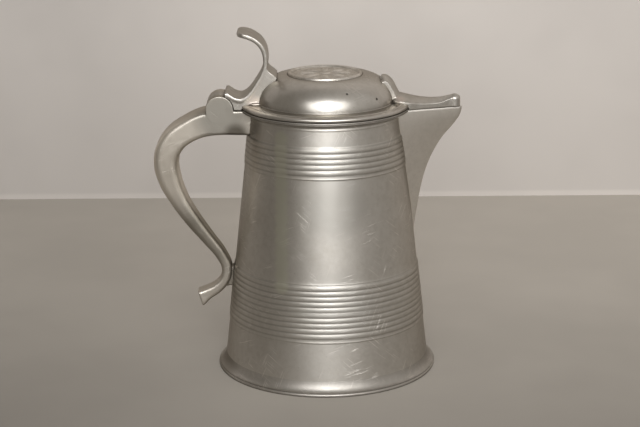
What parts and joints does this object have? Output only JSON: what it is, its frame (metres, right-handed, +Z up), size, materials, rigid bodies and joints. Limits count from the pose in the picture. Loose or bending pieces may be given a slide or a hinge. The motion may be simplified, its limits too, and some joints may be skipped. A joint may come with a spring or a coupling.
{
  "type": "lidded pewter jug",
  "caption": "Tapered pewter jug with reeded bands, a flared foot, a V-section pouring beak, a curved handle and a hinged domed lid with a thumbpiece.",
  "frame": {"origin": "on the axis of the round body, in the plane of the table under the foot", "axes": "+Z up along the body's axis, +X towards the beak, the handle on -X, the hinge pin along Y"},
  "size_m": [0.2222, 0.16, 0.2488],
  "materials": {
    "pewter_turned": "satin",
    "pewter_cast": "satin",
    "pewter_inside": "matte",
    "hinge_pin": "satin"
  },
  "bodies": {
    "jug": {"body_wall": "pewter_turned", "foot_ring": "pewter_turned", "bottom_plate": "pewter_inside", "lip_ring": "pewter_turned", "spout": "pewter_cast", "handle": "pewter_cast", "handle_pad": "pewter_cast", "hinge_pin": "hinge_pin"},
    "lid": {"lid_shell": "pewter_turned", "lid_medallion": "pewter_cast", "beak_cover": "pewter_cast", "thumbpiece": "pewter_cast"}
  },
  "joints": [
    {"name": "lid_hinge", "type": "hinge", "parent": "jug", "child": "lid", "pos_m": [-0.0755, 0, 0.1935], "axis": [0, -1, 0], "range_deg": [0, 100]}
  ]
}
